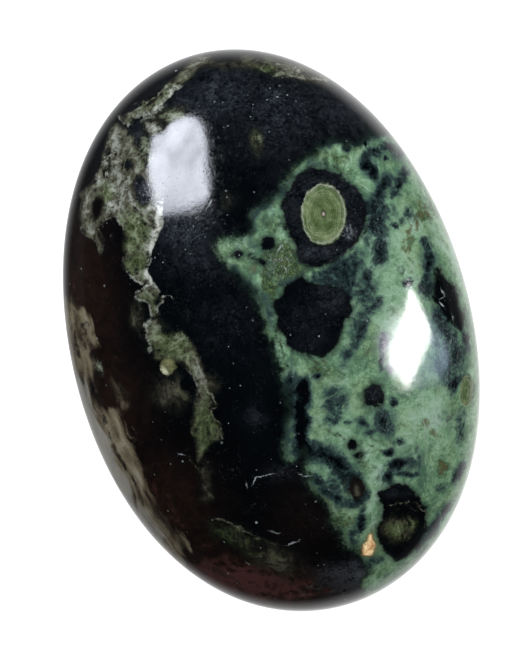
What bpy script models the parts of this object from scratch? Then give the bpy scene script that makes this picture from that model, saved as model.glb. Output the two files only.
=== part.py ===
"""Kambaba jasper palm stone: one piece of orbicular green-and-black stone, ground to an oval and polished.

Metres, +Z up. The stone lies on its back, with its thickness upright. The origin is the middle of the small
flat that it rests on, +Y runs along the stone towards its slightly narrower end, and +X across it.
"""

import math

import bmesh
import bpy

# Driving dimensions
LENGTH = 0.064
WIDTH = 0.045
THICKNESS = 0.029
REST_FLAT_DEPTH = 0.0003  # how much of the underside is rubbed flat where the stone rests

# How the outline leaves a plain ellipse, as shares of the half width
NARROWING = 0.022  # taken off towards +Y, and added towards -Y
END_FULLNESS = 0.052  # added towards both ends
END_DEPTH = 0.16  # the same for the half thickness, which keeps the ends blunt

TOP_SHARE = 0.505  # the upper face is a little fuller than the underside
GRID_SEGMENTS = 24  # faces along each side of the cube that is blown up to the stone

DARK_GREEN = (0.028, 0.047, 0.036, 1.0)
POLISH_ROUGHNESS = 0.12


def clear_scene():
    for old in list(bpy.data.objects):
        bpy.data.objects.remove(old)


def stone_point(direction):
    """The point of the stone's skin for a unit direction, before the rest flat is cut."""
    along = direction.y
    girth = 1.0 - NARROWING * along + END_FULLNESS * along**2
    depth = 1.0 - NARROWING * along + END_DEPTH * along**2
    full_thickness = THICKNESS + REST_FLAT_DEPTH
    half_thickness = full_thickness * (TOP_SHARE if direction.z > 0 else 1.0 - TOP_SHARE)
    return (
        direction.x * WIDTH / 2 * girth,
        direction.y * LENGTH / 2,
        direction.z * half_thickness * depth,
    )


def even_grid(coordinate):
    """Spreads a cube's grid lines so that they stay evenly apart once the cube is blown up to a ball."""
    return math.tan(coordinate * math.pi / 4)


def stone_mesh():
    bm = bmesh.new()
    bmesh.ops.create_cube(bm, size=2.0)
    bmesh.ops.subdivide_edges(bm, edges=bm.edges[:], cuts=GRID_SEGMENTS - 1, use_grid_fill=True)
    for vert in bm.verts:
        vert.co = (even_grid(vert.co.x), even_grid(vert.co.y), even_grid(vert.co.z))
        vert.co = stone_point(vert.co.normalized())
    lowest = min(vert.co.z for vert in bm.verts)
    bmesh.ops.translate(bm, verts=bm.verts[:], vec=(0.0, 0.0, -lowest - REST_FLAT_DEPTH))
    cut_rest_flat(bm)
    mesh = bpy.data.meshes.new("kambaba_jasper_stone")
    bm.to_mesh(mesh)
    bm.free()
    return mesh


def cut_rest_flat(bm):
    """Takes off what lies below Z 0 and closes the stone with one flat face there."""
    cut = bmesh.ops.bisect_plane(
        bm,
        geom=bm.verts[:] + bm.edges[:] + bm.faces[:],
        dist=1e-6,
        plane_co=(0.0, 0.0, 0.0),
        plane_no=(0.0, 0.0, -1.0),
        clear_outer=True,
    )
    rim = [item for item in cut["geom_cut"] if isinstance(item, bmesh.types.BMEdge)]
    bmesh.ops.edgeloop_fill(bm, edges=rim)
    bmesh.ops.recalc_face_normals(bm, faces=bm.faces[:])


def polished_jasper():
    material = bpy.data.materials.new("kambaba_jasper")
    material.use_nodes = True
    shader = material.node_tree.nodes["Principled BSDF"]
    shader.inputs["Base Color"].default_value = DARK_GREEN
    shader.inputs["Roughness"].default_value = POLISH_ROUGHNESS
    shader.inputs["Metallic"].default_value = 0.0
    return material


def make_stone():
    mesh = stone_mesh()
    mesh.materials.append(polished_jasper())
    mesh.shade_smooth()
    mesh.set_sharp_from_angle(angle=math.radians(30))
    stone = bpy.data.objects.new("kambaba_jasper_stone", mesh)
    bpy.context.scene.collection.objects.link(stone)
    return stone


def main():
    clear_scene()
    make_stone()


main()
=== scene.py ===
"""Kambaba jasper palm stone: the looks of the polished stone, on a pale floor under two soft boxes.

Metres, +Z up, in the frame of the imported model. The stone's markings are drawn as named shapes on the
photograph's plane, in its pixels, and laid on the upper face. The sides and the underside carry the same
kinds of markings as solid patterns, and the two meet around the stone's girth.
"""

import math

import bmesh
import bpy
import numpy as np
from mathutils import Matrix, Vector, noise


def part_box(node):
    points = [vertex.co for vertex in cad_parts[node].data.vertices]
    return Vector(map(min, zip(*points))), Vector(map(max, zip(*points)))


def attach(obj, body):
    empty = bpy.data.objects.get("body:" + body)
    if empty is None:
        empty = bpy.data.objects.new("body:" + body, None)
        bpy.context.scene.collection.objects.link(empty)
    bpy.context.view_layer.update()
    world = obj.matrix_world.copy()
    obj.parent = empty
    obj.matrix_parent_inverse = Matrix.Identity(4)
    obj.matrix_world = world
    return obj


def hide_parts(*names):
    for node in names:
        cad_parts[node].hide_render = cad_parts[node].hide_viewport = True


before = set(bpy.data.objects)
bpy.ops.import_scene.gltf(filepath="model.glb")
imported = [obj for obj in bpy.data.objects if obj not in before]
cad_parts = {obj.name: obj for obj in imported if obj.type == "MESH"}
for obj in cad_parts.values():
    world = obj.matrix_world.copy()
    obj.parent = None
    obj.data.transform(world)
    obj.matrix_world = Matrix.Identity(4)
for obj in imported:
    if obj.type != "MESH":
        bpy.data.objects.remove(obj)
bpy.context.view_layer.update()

# The photograph's frame and where the stone lies in it, in pixels
PHOTO_WIDTH = 532
PHOTO_HEIGHT = 664
STONE_CENTRE = (269.8, 329.9)
PIXELS_PER_MM = 8.9
STONE_LEAN = math.radians(14.93)  # how far the stone's length leans to the left of upright

# The camera
LENS_MM = 110.0
SENSOR_MM = 36.0

# How the stone's form leaves a plain ellipsoid, the first three as shares of its half width or thickness
NARROWING = 0.022  # taken off both towards +Y, and added towards -Y
END_FULLNESS = 0.052  # added to the half width towards both ends
END_DEPTH = 0.16  # the same for the half thickness
TOP_SHARE = 0.505  # how much of the thickness lies above the girth
REST_FLAT_DEPTH = 0.0003  # metres

# The mesh of the skin
GRID_SEGMENTS = 128
TOP_CROWDING = 0.45  # how far the grid is drawn towards the top, where the drawn markings lie
UNDULATION = 0.00003  # how deep hand grinding leaves the skin wavy, and how long the waves are
UNDULATION_LENGTH = 0.011

# Where the drawn markings hand over to the solid ones, in metres above the girth
DRAWN_FROM = 0.0012
DRAWN_TO = -0.0090
UPPER_FROM = 0.0035  # from here up the drawn outlines are kept as they are

FAR = 60.0  # pixels: no marking reaches further than this
LINE_REACH = 2.5  # pixels: a thin line's strength is full up to here, and gone at twice that
GROWTH_SEED = 3  # fixes the push that turns drawn outlines into grown ones


class Photo:
    """Turns places on the stone into places on the photograph, as its camera saw them."""

    def __init__(self, girth_height, centre):
        frame_height = PHOTO_HEIGHT / PIXELS_PER_MM / 1000
        self.right = Vector((math.cos(STONE_LEAN), -math.sin(STONE_LEAN), 0.0))
        self.up = Vector((math.sin(STONE_LEAN), math.cos(STONE_LEAN), 0.0))
        self.pixels_per_slope = PHOTO_HEIGHT * LENS_MM / SENSOR_MM
        height = girth_height + frame_height * LENS_MM / SENSOR_MM
        across = (PHOTO_WIDTH / 2 - STONE_CENTRE[0]) / PIXELS_PER_MM / 1000
        upward = (STONE_CENTRE[1] - PHOTO_HEIGHT / 2) / PIXELS_PER_MM / 1000
        self.eye = Vector((centre.x, centre.y, height)) + self.right * across + self.up * upward

    def places(self, points):
        """Pixels of an array of points."""
        offset = points - np.array(self.eye)
        depth = -offset[:, 2]
        across = offset @ np.array(self.right) / depth
        upward = offset @ np.array(self.up) / depth
        middle = np.array((PHOTO_WIDTH / 2, PHOTO_HEIGHT / 2))
        return middle + np.stack((across, -upward), axis=1) * self.pixels_per_slope


# Form


def skin_point(direction, half_size):
    """The point of the stone's skin for a unit direction, about the middle of its girth."""
    along = direction.y
    girth = 1.0 - NARROWING * along + END_FULLNESS * along**2
    depth = 1.0 - NARROWING * along + END_DEPTH * along**2
    share = TOP_SHARE if direction.z > 0 else 1.0 - TOP_SHARE
    full_thickness = half_size.z * 2 + REST_FLAT_DEPTH
    return Vector(
        (
            direction.x * half_size.x * girth,
            direction.y * half_size.y,
            direction.z * full_thickness * share * depth,
        )
    )


def even_grid(coordinate):
    """Spreads a cube's grid lines so that they stay evenly apart once the cube is blown up to a ball."""
    return math.tan(coordinate * math.pi / 4)


def ball_grid():
    """A cube's grid blown up to a unit ball, closer at the top than at the bottom."""
    bm = bmesh.new()
    bmesh.ops.create_cube(bm, size=2.0)
    bmesh.ops.subdivide_edges(bm, edges=bm.edges[:], cuts=GRID_SEGMENTS - 1, use_grid_fill=True)
    for vert in bm.verts:
        vert.co = (even_grid(vert.co.x), even_grid(vert.co.y), even_grid(vert.co.z))
        vert.co = (vert.co.normalized() + Vector((0.0, 0.0, TOP_CROWDING))).normalized()
    return bm


def make_stone(box):
    """The stone's skin, a little wavy as hand grinding leaves it, and the height of its girth."""
    low, high = box
    half_size = (high - low) / 2
    bm = ball_grid()
    for vert in bm.verts:
        wave = 0.5 + 0.5 * noise.noise(vert.co * half_size.y / UNDULATION_LENGTH)
        point = skin_point(vert.co, half_size)
        vert.co = point - point.normalized() * UNDULATION * wave
    floor_level = min(vert.co.z for vert in bm.verts) + REST_FLAT_DEPTH
    for vert in bm.verts:
        vert.co.z = max(vert.co.z - floor_level, 0.0)
    mesh = bpy.data.meshes.new("polished_stone")
    bm.to_mesh(mesh)
    bm.free()
    mesh.shade_smooth()
    stone = bpy.data.objects.new("polished_stone", mesh)
    bpy.context.scene.collection.objects.link(stone)
    return stone, -floor_level


# Drawing on the photograph's plane


def rounded(points, closed):
    """A smooth path through a few points."""
    knots = np.array(points, dtype=float)
    if closed:
        knots = np.vstack((knots[-1:], knots, knots[:2]))
    else:
        knots = np.vstack((2 * knots[0] - knots[1], knots, 2 * knots[-1] - knots[-2]))
    path = []
    for before, start, end, after in zip(knots, knots[1:], knots[2:], knots[3:]):
        speed = end - before
        bend = 2 * before - 5 * start + 4 * end - after
        twist = 3 * start - before - 3 * end + after
        path += [0.5 * (2 * start + speed * t + bend * t**2 + twist * t**3) for t in (0.0, 0.25, 0.5, 0.75)]
    path.append(knots[-2])
    return np.array(path)


def path_distance(places, path):
    """How far each place is from a path, and on which side of it, as 1 or -1."""
    nearest = np.full(len(places), FAR)
    side = np.ones(len(places))
    for start, end in zip(path, path[1:]):
        step = end - start
        offset = places - start
        share = np.clip(offset @ step / (step @ step + 1e-9), 0.0, 1.0)
        gap = np.hypot(*(offset - share[:, None] * step).T)
        closer = gap < nearest
        turn = step[0] * offset[:, 1] - step[1] * offset[:, 0]
        nearest = np.where(closer, gap, nearest)
        side = np.where(closer, np.where(turn < 0, -1.0, 1.0), side)
    return nearest, side


def patch(places, points):
    """Signed distance into a closed outline."""
    path = rounded(points, closed=True)
    nearest, _ = path_distance(places, path)
    inside = np.zeros(len(places), dtype=bool)
    for start, end in zip(path, path[1:]):
        spans = (start[1] > places[:, 1]) != (end[1] > places[:, 1])
        rise = end[1] - start[1]
        crossing = start[0] + (places[:, 1] - start[1]) * (end[0] - start[0]) / (rise if rise else 1e-9)
        inside ^= spans & (places[:, 0] < crossing)
    return np.where(inside, nearest, -nearest)


def soft_patch(places, points, strength, edge):
    """A closed outline that goes from 0 to its strength within that many pixels."""
    return strength * np.clip(patch(places, points) / edge, -1.0, 1.0)


def oval_radius(places, centre, radii, lean=0.0):
    """Distance from the centre of an oval as a share of the way to its edge."""
    offset = places - np.array(centre)
    turn = math.radians(lean)
    across = offset[:, 0] * math.cos(turn) + offset[:, 1] * math.sin(turn)
    down = offset[:, 1] * math.cos(turn) - offset[:, 0] * math.sin(turn)
    return np.hypot(across / radii[0], down / radii[1])


def spot(places, centre, radii, lean=0.0):
    """Signed distance into an oval, near enough."""
    radius = oval_radius(places, centre, radii, lean)
    return np.maximum((1.0 - radius) * math.sqrt(radii[0] * radii[1]), -FAR)


def streak(places, points, half_width):
    """Signed distance into a band along a route."""
    nearest, _ = path_distance(places, rounded(points, closed=False))
    return half_width - nearest


def cloud(places, centre, radii, lean=0.0):
    """A soft oval: 1 in its middle, a third at its edge and fading to 0."""
    return np.exp(-oval_radius(places, centre, radii, lean) ** 2)


def soft_band(places, points, half_width):
    """A soft band along a route: 1 in its middle, a third at its edges and fading to 0."""
    nearest, _ = path_distance(places, rounded(points, closed=False))
    return np.exp(-((nearest / half_width) ** 2))


def lines(places, name, table):
    """The nearest thin line at each place: the distance to it, signed for its side, and its strength, which
    fades out beside it."""
    nearest = np.full(len(places), FAR)
    across = np.full(len(places), FAR)
    reach = np.zeros(len(places))
    for strength, routes in table:
        for route in routes:
            gap, side = path_distance(places, rounded(route, closed=False))
            closer = gap < nearest
            nearest = np.where(closer, gap, nearest)
            across = np.where(closer, gap * side, across)
            reach = np.where(closer, strength * np.clip(2.0 - gap / LINE_REACH, 0.0, 1.0), reach)
    return {name + "_across": across, name + "_reach": reach}


def union(*fields):
    return np.maximum.reduce(fields)


# Markings of the upper face, in the photograph's pixels. Soft ovals are (strength, centre, radii) and the
# degrees that they lean, if they do. Soft bands are (strength, half width, route).

# The two ringed orbs: the large eye, and the narrow one at the right rim
EYE_CENTRE = (323.5, 214)
EYE_RADII = (22.5, 30.5)
RIM_ORB = ((466.5, 391), (6.5, 16), 4)

EYE_RING = [
    (283, 195), (281, 208), (284, 225), (290, 238), (298, 254), (308, 266), (320, 268), (333, 262),
    (347, 253), (357, 242), (364, 228), (368, 213), (364, 199), (357, 189), (348, 180), (335, 172),
    (322, 167), (308, 169), (296, 177), (288, 186),
]

GREEN_FIELD = [
    (317, 152), (324, 146), (340, 143), (352, 147), (367, 140), (382, 136), (402, 133), (450, 150),
    (500, 300), (500, 420), (470, 500), (430, 560), (400, 602), (374, 600), (366, 586), (370, 573),
    (364, 560), (357, 545), (346, 544), (338, 526), (330, 508), (318, 493), (312, 478), (308, 462),
    (306, 446), (300, 448), (293, 459), (289, 456), (288, 440), (290, 425), (292, 410), (289, 396),
    (286, 382), (281, 366), (275, 350), (268, 326), (262, 308), (255, 294), (247, 281), (238, 270),
    (228, 262), (221, 249), (228, 240), (243, 240), (252, 232), (256, 218), (266, 206), (276, 197),
    (283, 189), (289, 180), (296, 171), (304, 163), (312, 158),
]

SHIELD = [
    (277, 300), (276, 314), (279, 328), (285, 341), (294, 350), (305, 356), (318, 359), (328, 356),
    (336, 346), (341, 333), (347, 322), (351, 309), (352, 296), (342, 287), (328, 283), (316, 282),
    (307, 278), (300, 275), (292, 279), (284, 286),
]

RIM_BLOB = [
    (438, 268), (442, 273), (448, 281), (455, 285), (458, 297), (461, 309), (466, 320), (463, 330),
    (455, 324), (447, 318), (440, 309), (434, 303), (434, 290), (435, 279),
]

LOWER_BLACK = [
    (377, 494), (384, 487), (392, 483), (400, 485), (408, 485), (414, 492), (419, 500), (426, 508),
    (428, 518), (426, 530), (421, 542), (412, 552), (400, 560), (390, 556), (381, 548), (378, 535),
    (379, 520), (381, 508),
]

BLACK_SPOT = [
    (364, 391), (368, 386), (375, 384), (381, 388), (383, 396), (381, 405), (375, 409), (367, 405),
    (363, 399),
]
RED_OVAL = [(349, 480), (354, 472), (361, 477), (365, 489), (362, 497), (357, 503), (352, 496), (349, 488)]


def uneven(places):
    """The places pushed about a little, so that drawn shapes get the outlines of grown ones."""
    noise.seed_set(GROWTH_SEED)
    pushed = places.copy()
    for size, reach in ((16.0, 3.4), (6.5, 1.6)):
        pushed += reach * np.array([noise.noise_vector((x / size, y / size, size))[:2] for x, y in places])
    return pushed


def clouds(places, table):
    """The strongest of several soft ovals."""
    return union(*(strength * cloud(places, *oval) for strength, *oval in table))


def bands(places, table):
    """The strongest of several soft bands."""
    return union(*(strength * soft_band(places, route, width) for strength, width, route in table))


def dark_blobs(places):
    """The crisp black shapes that lie in the green."""
    shapes = (EYE_RING, SHIELD, RIM_BLOB, LOWER_BLACK, BLACK_SPOT, RED_OVAL)
    return union(
        *(patch(places, shape) for shape in shapes),
        spot(places, (239, 254), (5, 5)),
        spot(places, (267, 243), (7, 6.5)),
        streak(places, [(250, 257), (256, 260), (263, 263)], 2.2),
        spot(places, (353, 443), (6, 6)),
        spot(places, (356, 454), (4.5, 4)),
    )


# Dark clouds in the green: teal from a strength of about a third, and black from about one and two thirds
SHADE_CLOUDS = [
    (2.0, (368, 165), (8, 9)), (2.3, (373, 172), (6, 8), -20), (1.9, (373, 150), (4, 3)),
    (1.9, (389, 147), (5, 3)), (2.0, (386, 157), (3, 2)), (2.0, (367, 143), (3, 1.8)),
    (1.9, (345, 147), (4, 3.4)), (1.9, (353, 142), (4, 3.2)), (1.9, (399, 186), (3, 5.5), 25),
    (0.75, (391, 184), (10, 12), 25), (0.75, (388, 212), (9, 11)), (1.3, (367, 208), (7, 7)),
    (1.1, (409, 213), (4.5, 7.5)), (0.9, (403, 221), (4, 3.4)), (1.6, (395, 225), (5, 2.8)),
    (0.8, (369, 240), (7, 14)), (1.7, (368, 277), (6, 9)), (0.9, (356, 262), (10, 16), 10),
    (1.0, (340, 262), (14, 9), -25), (0.8, (290, 282), (9, 7), -30), (0.3, (268, 218), (16, 24), 20),
    (0.45, (254, 248), (14, 12)), (0.25, (272, 264), (18, 22)), (0.45, (450, 415), (14, 14)),
    (1.0, (365, 292), (13, 22)), (0.85, (359, 322), (10, 26), 18), (0.8, (346, 358), (8, 14), 30),
    (1.0, (382, 360), (4, 12), 5), (1.0, (335, 402), (14, 20), 5), (0.5, (318, 163), (14, 8)),
    (1.0, (331, 421), (8, 6)), (1.1, (345, 422), (5, 2.6)), (1.1, (361, 421), (10, 5), 20),
    (1.6, (392, 403), (4.5, 5.5)), (1.5, (398, 441), (7, 4.5)), (1.8, (390, 451), (4.8, 3.6)),
    (2.1, (398, 464), (12, 6), -10), (1.4, (387, 474), (6, 9)), (0.7, (411, 462), (16, 15), 20),
    (1.2, (408, 474), (16, 4), 3), (0.95, (334, 484), (15, 13), 20), (1.1, (384, 424), (12, 16)),
    (0.9, (372, 432), (9, 6)), (1.4, (346, 479), (6, 9)), (1.6, (291, 398), (9, 24)),
    (0.7, (287, 436), (5, 20)), (1.5, (446, 509), (4, 12), 32), (1.5, (459, 472), (3.5, 12), 25),
    (0.9, (440, 489), (6, 5)), (1.4, (430, 530), (4, 22), 35), (1.7, (362, 522), (5.5, 13), 5),
    (1.0, (355, 536), (8, 10)), (1.0, (446, 334), (16, 26), -10), (1.05, (448, 362), (18, 24)),
    (1.1, (383, 343), (6, 11)), (0.7, (389, 368), (5, 10), -20), (1.4, (456, 354), (10, 9), -10),
    (1.5, (466, 342), (4, 10)), (1.6, (456, 383), (4, 11), 15), (1.2, (447, 371), (5, 7)),
    (1.3, (438, 318), (8, 12)), (1.2, (427, 288), (7, 11)), (0.8, (429, 262), (9, 28)),
    (0.7, (461, 428), (7, 22)), (2.0, (408, 282), (4.5, 3.4)), (1.9, (315, 376), (3.8, 3.2)),
    (0.5, (250, 284), (16, 12), 45), (0.8, (372, 562), (14, 8), -20),
]
SHADE_BANDS = [
    (1.2, 6, [(362, 162), (368, 154), (378, 150), (388, 147), (398, 153)]),
    (1.2, 6, [(404, 172), (400, 182), (395, 191)]),
    (1.4, 8, [(386, 180), (379, 198), (375, 213)]),
    (1.3, 10, [(375, 213), (376, 227), (380, 242), (377, 258)]),
    (1.0, 7, [(378, 302), (367, 314), (361, 328), (356, 342), (345, 356)]),
    (1.3, 5, [(424, 240), (428, 250), (430, 262), (428, 275), (424, 287)]),
    (1.0, 4.5, [(322, 147), (340, 140), (356, 142), (372, 136), (398, 130)]),
    (1.2, 6, [(316, 478), (326, 491), (340, 501), (356, 502), (366, 496)]),
    (1.5, 12, [(300, 448), (314, 450), (330, 458), (343, 468), (350, 478)]),
    (2.4, 8, [(303, 386), (302, 402), (301, 422), (303, 442)]),
    (0.7, 7, [(272, 322), (264, 300), (248, 284), (234, 270)]),
    (0.6, 6, [(252, 234), (256, 216), (268, 202), (281, 190)]),
]

# Slate coloured ground over the shield
SLATE_STRENGTH = 1.15
SLATE_EDGE = 7  # pixels over which it fades
SLATE_PATCH = [
    (312, 269), (326, 264), (340, 257), (352, 248), (360, 252), (362, 272), (358, 292), (354, 306),
    (340, 296), (322, 288), (306, 282),
]

# Where the green carries ochre brown
RUST_CLOUDS = [
    (1.0, (427, 423), (5, 8), -30), (1.0, (434, 433), (7, 4), 30), (1.0, (451, 416), (6, 8)),
    (1.0, (443, 470), (6, 8)), (0.8, (421, 214), (9, 7)), (1.0, (252, 270), (4, 4)),
    (0.6, (284, 262), (12, 12)), (1.1, (388, 441), (3.5, 7)), (0.8, (326, 496), (14, 9), 40),
    (0.5, (350, 520), (8, 16), -10),
]

RUST_BANDS = [
    (0.75, 5, [(418, 220), (411, 228), (407, 237), (404, 247)]),
    (0.7, 4.5, [(418, 204), (424, 210), (432, 214)]),
]

# Where the green turns to olive and yellow
WARM_CLOUDS = [
    (1.8, (280, 264), (21, 24), -10), (1.5, (268, 288), (11, 22), -10), (0.8, (272, 226), (12, 14)),
    (0.6, (343, 518), (16, 24), -15), (0.9, (322, 492), (12, 10)), (1.1, (420, 216), (13, 12)),
    (0.7, (408, 240), (10, 14)), (0.35, (432, 428), (24, 18), -20), (0.9, (444, 469), (10, 10)),
    (0.9, (293, 440), (6, 22)), (0.7, (340, 160), (26, 12)), (0.6, (365, 470), (16, 22)),
    (0.6, (330, 372), (36, 12), -8),
]
WARM_BANDS = [(0.9, 5, [(288, 180), (295, 168), (303, 159), (317, 155)])]

# Where the green is milky; around the right highlight, at (400, 280), and along the right rim, at (452,
# 235), partly a painted glow of reflected light
MILKY_AND_GLOW_CLOUDS = [
    (1.0, (400, 280), (26, 60), 5), (1.5, (420, 420), (26, 26)), (2.2, (412, 222), (12, 16)),
    (1.4, (452, 235), (16, 54), -15), (0.6, (398, 432), (14, 10)), (2.6, (370, 507), (4, 7)),
    (1.6, (374, 522), (3, 9)), (0.7, (330, 420), (44, 40)), (0.6, (380, 480), (30, 50)),
    (0.8, (344, 520), (16, 22)),
]

# Where the green is full of fine bright needles
NEEDLE_CLOUDS = [
    (1.0, (428, 424), (32, 26)), (0.9, (281, 260), (14, 20)), (0.8, (234, 248), (14, 12)),
    (0.6, (450, 350), (18, 40)), (0.3, (390, 260), (20, 50)),
]


def orb_radius(places):
    """Distance from the middle of the nearest ringed orb, as a share of its radius."""
    return np.minimum(oval_radius(places, EYE_CENTRE, EYE_RADII), oval_radius(places, *RIM_ORB))


# The small yellow bead in the vein, and the painted crescent of light on it
BEAD_CENTRE = (168, 366)
BEAD_RADII = (7.5, 9)
BEAD_GLINT = ((164.5, 371), (2.8, 7), -38)

# The parts of the vein, from the top end down
VEIN_STREAK = [
    (118, 115), (130, 110), (142, 102), (154, 93), (165, 84), (178, 70), (190, 58), (200, 50), (214, 54),
    (204, 68), (190, 80), (180, 88), (166, 102), (150, 114), (135, 123), (127, 129), (121, 124),
]
VEIN_TOP = [
    (116, 122), (108, 134), (103, 148), (99, 162), (94, 174), (86, 187), (78, 196), (75, 210), (78, 226),
    (84, 236), (93, 240), (98, 252), (103, 254), (105, 244), (100, 230), (104, 222), (114, 219), (119, 230),
    (122, 246), (119, 258), (120, 268), (130, 274), (138, 284), (153, 284), (149, 272), (152, 254),
    (158, 240), (164, 222), (164, 206), (160, 190), (156, 172), (146, 160), (140, 146), (132, 134),
    (124, 128),
]
VEIN_MIDDLE = [
    (154, 282), (142, 286), (135, 290), (135, 297), (141, 303), (149, 306), (150, 314), (146, 325),
    (145, 336), (150, 348), (155, 360), (168, 362), (180, 366), (190, 374), (196, 388), (208, 394),
    (213, 384), (207, 368), (199, 352), (192, 339), (186, 332), (176, 330), (164, 329), (158, 320),
    (159, 310), (164, 300), (162, 291),
]
VEIN_FOOT = [
    (180, 366), (190, 376), (195, 392), (193, 404), (190, 416), (189, 432), (194, 446), (192, 460),
    (198, 468), (205, 458), (214, 444), (224, 438), (222, 426), (214, 414), (217, 404), (210, 390),
    (200, 372),
]
VEIN_EDGE = 6  # pixels over which the vein thickens, and over which its holes open
HOLE_EDGE = 8
VEIN_PATCHES = [(0.85, VEIN_STREAK), (0.95, VEIN_TOP), (0.95, VEIN_MIDDLE), (0.75, VEIN_FOOT)]
VEIN_BANDS = [
    (0.75, 8, [(246, 60), (262, 64), (285, 68), (305, 72), (324, 79)]),
    (0.45, 7, [(206, 62), (222, 64), (240, 66)]),
    (0.36, 8, [(203, 468), (207, 482), (208, 498)]),
]
VEIN_CLOUDS = [
    (0.9, (172, 115), (18, 8), -8), (0.9, (154, 127), (11, 8)), (0.8, (146, 152), (9, 18)),
    (0.62, (170, 392), (16, 18), -30), (0.5, (157, 336), (12, 18)), (0.5, (185, 398), (9, 5)),
    (0.7, (256, 141), (7.5, 12), -15), (0.45, (226, 201), (8, 11)), (0.5, (212, 384), (9, 11)),
    (0.55, (236, 538), (32, 11), 24), (0.62, (272, 560), (30, 14), 24), (0.95, (395, 528), (12, 12)),
    (0.6, (414, 526), (6, 11), 15), (0.85, (98, 368), (4, 8), -30), (0.48, (118, 392), (4.5, 15), -24),
    (0.72, (357, 489), (4, 9), -10), (0.4, (138, 318), (8, 18), -15),
]
VEIN_HOLES = [
    ((143, 191), (8.5, 14), -8), ((97, 208), (5, 11), 15), ((112, 229), (6, 7)), ((171, 313), (9.5, 10.5)),
    ((217, 447), (6, 5)), ((187, 386), (9, 9)), ((109, 155), (2.5, 5), 20), ((108, 168), (2.5, 4), 20),
    ((127, 165), (5, 6)), ((157, 302), (2.5, 5)),
]

# Where the vein is green, and where it is grey to cream
MOSS_CLOUDS = [
    (0.6, (160, 100), (40, 12), -38), (1.0, (136, 230), (18, 26), 5), (0.9, (108, 192), (9, 12)),
    (1.0, (134, 262), (16, 16)), (0.6, (150, 298), (16, 12)), (1.0, (172, 345), (28, 22), 20),
    (0.9, (205, 428), (18, 34)), (0.8, (396, 530), (13, 14)), (0.9, (414, 524), (9, 12)),
    (0.8, (265, 70), (16, 10)), (0.9, (172, 115), (18, 8)), (0.9, (146, 152), (9, 18)),
    (0.7, (256, 141), (9, 13)), (0.7, (236, 540), (44, 16), 24), (0.7, (98, 368), (6, 9)),
    (0.8, (168, 366), (9, 10)),
]
FROST_CLOUDS = [
    (1.5, (114, 206), (8, 6)), (1.0, (109, 177), (4.5, 5)), (0.9, (99, 178), (4, 7), 20),
    (0.9, (113, 190), (4, 9), -25), (1.3, (155, 127), (9, 6)), (0.75, (172, 114), (15, 6), -8),
    (0.7, (146, 150), (7, 15)), (0.5, (112, 152), (9, 26), 12), (0.4, (124, 186), (9, 14)),
    (0.55, (146, 222), (14, 12)), (0.5, (180, 338), (14, 6), 10), (0.5, (300, 74), (26, 6), 10),
    (0.55, (256, 140), (6, 9)), (0.9, (98, 367), (3.5, 7), -30), (1.0, (171, 299), (3, 2)),
    (1.0, (174, 326), (2.6, 2)), (0.9, (158, 327), (3.5, 2.4)),
]
FROST_BANDS = [
    (1.6, 5.5, [(161, 206), (158, 222), (154, 238), (151, 248)]),
    (1.4, 3.4, [(150, 253), (149, 263), (146, 272), (149, 279), (154, 286)]),
    (1.0, 2.2, [(121, 255), (118, 264), (122, 270), (131, 273), (137, 279), (142, 285)]),
    (0.9, 2.6, [(119, 115), (121, 122), (127, 128)]),
    (1.0, 4.6, [(127, 127), (134, 123), (144, 116), (155, 109), (166, 100), (180, 86)]),
    (1.0, 2.8, [(131, 192), (132, 201), (136, 208), (143, 212), (151, 207)]),
    (1.1, 2.0, [(150, 287), (142, 288), (136, 291), (136, 297), (141, 302), (149, 305)]),
    (1.2, 2.4, [(154, 284), (160, 290), (164, 296), (162, 304), (159, 311)]),
    (0.9, 2.2, [(151, 308), (151, 316), (147, 325), (146, 333), (149, 342), (151, 350)]),
    (0.9, 2.2, [(104, 222), (109, 219), (117, 220), (121, 228)]),
    (0.55, 2.4, [(178, 368), (187, 371), (193, 378), (197, 388), (202, 397)]),
    (0.5, 2.0, [(195, 346), (201, 356), (207, 367), (210, 373)]),
]


def vein(places):
    """How dense the olive and cream vein is: 0 at its edge and up to about 1 inside."""
    body = union(*(soft_patch(places, shape, strength, VEIN_EDGE) for strength, shape in VEIN_PATCHES))
    body = union(body, bands(places, VEIN_BANDS), clouds(places, VEIN_CLOUDS))
    holes = union(*(spot(places, *oval) for oval in VEIN_HOLES))
    return np.minimum(body, 0.4 - holes / HOLE_EDGE)


RIM_BAND = [
    (40, 306), (76, 306), (84, 316), (81, 330), (83, 346), (93, 346), (90, 356), (93, 372), (90, 384),
    (95, 400), (103, 413), (117, 411), (124, 424), (131, 440), (139, 460), (149, 480), (159, 502),
    (170, 524), (186, 548), (150, 590), (60, 480),
]


def bark(places):
    """Signed distance into the streaked brown band along the lower left rim."""
    return union(
        patch(places, RIM_BAND),
        streak(places, [(88, 322), (90, 334), (93, 346)], 3.5),
        streak(places, [(114, 380), (119, 392), (124, 406)], 3.5),
        streak(places, [(118, 426), (126, 438), (130, 450)], 3.5),
    )


# A painted sheen on that band, next to the rim: pale grey where the rim mirrors the white around it
RIM_SHEEN_WIDTH = 9
RIM_SHEEN_ROUTE = [
    (80, 385), (88, 412), (95, 430), (103, 448), (112, 466), (121, 482), (131, 500), (144, 520), (160, 540),
]

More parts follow.
